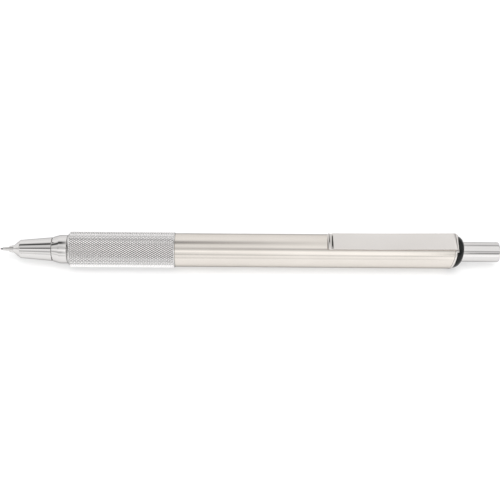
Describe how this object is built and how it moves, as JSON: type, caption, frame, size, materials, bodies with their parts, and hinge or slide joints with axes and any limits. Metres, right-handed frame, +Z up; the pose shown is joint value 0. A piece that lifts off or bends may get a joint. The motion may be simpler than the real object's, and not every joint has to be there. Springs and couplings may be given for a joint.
{
  "type": "mechanical pencil",
  "caption": "All-metal push-button mechanical pencil with a tapered nose, knurled grip, steel barrel and spring clip.",
  "frame": {"origin": "bottom centre of the box, so the grip rests on z = 0", "axes": "+X along the pencil from its point to its button, +Z up through the clip"},
  "size_m": [0.1372, 0.0098, 0.0106],
  "materials": {
    "stainless": "satin stainless steel",
    "knurled_steel": "diamond-knurled stainless steel",
    "chrome": "polished chrome plate",
    "brass": "turned brass",
    "spring_steel": "drawn spring wire",
    "black_plastic": "glossy black moulded plastic",
    "grey_plastic": "natural moulded plastic",
    "rubber": "soft black rubber",
    "eraser": "white vinyl eraser",
    "graphite": "graphite lead"
  },
  "bodies": {
    "frame": {"nose_cone": "chrome", "lead_sleeve": "stainless", "lead_retainer": "rubber", "front_collar": "chrome", "grip_sleeve": "knurled_steel", "grip_core": "brass", "barrel": "stainless", "clip_ring": "chrome", "end_plug": "black_plastic", "chuck_housing": "brass"},
    "mechanism": {"chuck": "brass", "chuck_link": "brass", "chuck_spring": "spring_steel", "lead_tube": "grey_plastic", "eraser_holder": "brass", "eraser": "eraser", "spare_leads": "graphite"},
    "button": {"push_button": "chrome"},
    "feed": {"chuck_ring": "brass", "lead": "graphite"},
    "clip_arm": {"clip": "chrome"}
  },
  "joints": [
    {"name": "button_press", "type": "slide", "parent": "frame", "child": "mechanism", "axis": [-1, 0, 0], "range_m": [0, 0.003], "stiffness_N_per_m": 600, "springref_m": -0.002, "deforming": ["chuck_spring"]},
    {"name": "lead_feed", "type": "slide", "parent": "frame", "child": "feed", "axis": [-1, 0, 0], "range_m": [0, 0.0007]},
    {"name": "button_pull", "type": "slide", "parent": "mechanism", "child": "button", "axis": [1, 0, 0], "range_m": [0, 0.015]},
    {"name": "clip_flex", "type": "hinge", "parent": "frame", "child": "clip_arm", "pos_m": [0.05696, 0, 0.00934], "axis": [0, 1, 0], "range_deg": [0, 3], "stiffness_Nm_per_rad": 1.2, "springref_deg": -1.15}
  ],
  "couplings": [
    {"joint": "lead_feed", "follows": "button_press", "ratio": 0.23}
  ]
}
